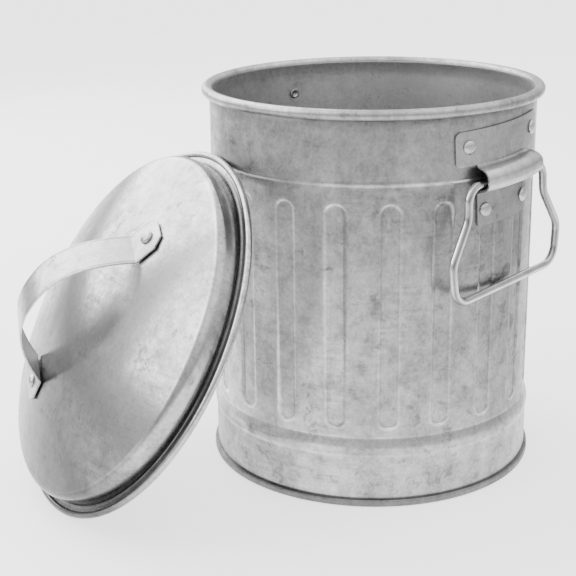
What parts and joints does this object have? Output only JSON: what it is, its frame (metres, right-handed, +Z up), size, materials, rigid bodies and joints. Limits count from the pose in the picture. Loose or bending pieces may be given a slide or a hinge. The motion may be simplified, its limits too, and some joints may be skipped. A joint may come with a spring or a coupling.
{
  "type": "waste bin",
  "caption": "Round galvanised steel waste bin with a rolled rim, fluted wall and drop bail handles, and a domed lift-off lid with a strap handle leaning against it.",
  "frame": {"origin": "on the floor, under the middle of the whole group's bounding box (bin and leaning lid together); the bin's own axis stands at x 0.0321, y 0.0610", "axes": "+Z up; +X from the left bail's side of the bin to the right bail's side; -Y is the side that the lid leans on"},
  "size_m": [0.2986, 0.3417, 0.25],
  "materials": {
    "galvanised_sheet": "hot-dip galvanised sheet steel with a mottled dull grey zinc skin",
    "bail_wire": "bright zinc-plated round wire",
    "rivet_steel": "zinc-plated domed rivet",
    "rim_core_wire": "plain steel core wire hidden in a rolled rim"
  },
  "bodies": {
    "can": {"can_body": "galvanised_sheet", "rim_wire": "rim_core_wire", "can_bottom": "galvanised_sheet", "foot_ring": "galvanised_sheet", "bracket_right": "galvanised_sheet", "bracket_left": "galvanised_sheet", "rivet_right_1": "rivet_steel", "rivet_right_2": "rivet_steel", "rivet_right_3": "rivet_steel", "rivet_right_4": "rivet_steel", "rivet_left_1": "rivet_steel", "rivet_left_2": "rivet_steel", "rivet_left_3": "rivet_steel", "rivet_left_4": "rivet_steel"},
    "handle_right": {"handle_right": "bail_wire"},
    "handle_left": {"handle_left": "bail_wire"},
    "lid": {"lid_shell": "galvanised_sheet", "lid_rim_wire": "rim_core_wire", "lid_strap": "galvanised_sheet", "lid_rivet_1": "rivet_steel", "lid_rivet_2": "rivet_steel"}
  },
  "joints": [
    {"name": "handle_right_swing", "type": "hinge", "parent": "can", "child": "handle_right", "pos_m": [0.1407, 0.0593, 0.2046], "axis": [0, -0.9985, -0.0541], "range_deg": [-1, 180]},
    {"name": "handle_left_swing", "type": "hinge", "parent": "can", "child": "handle_left", "pos_m": [-0.0765, 0.061, 0.2046], "axis": [0, 1, 0], "range_deg": [-1, 180]},
    {"name": "lid_lift", "type": "slide", "parent": "can", "child": "lid", "axis": [-0.2654, -0.8207, 0.506], "range_m": [0, 0.18]}
  ]
}
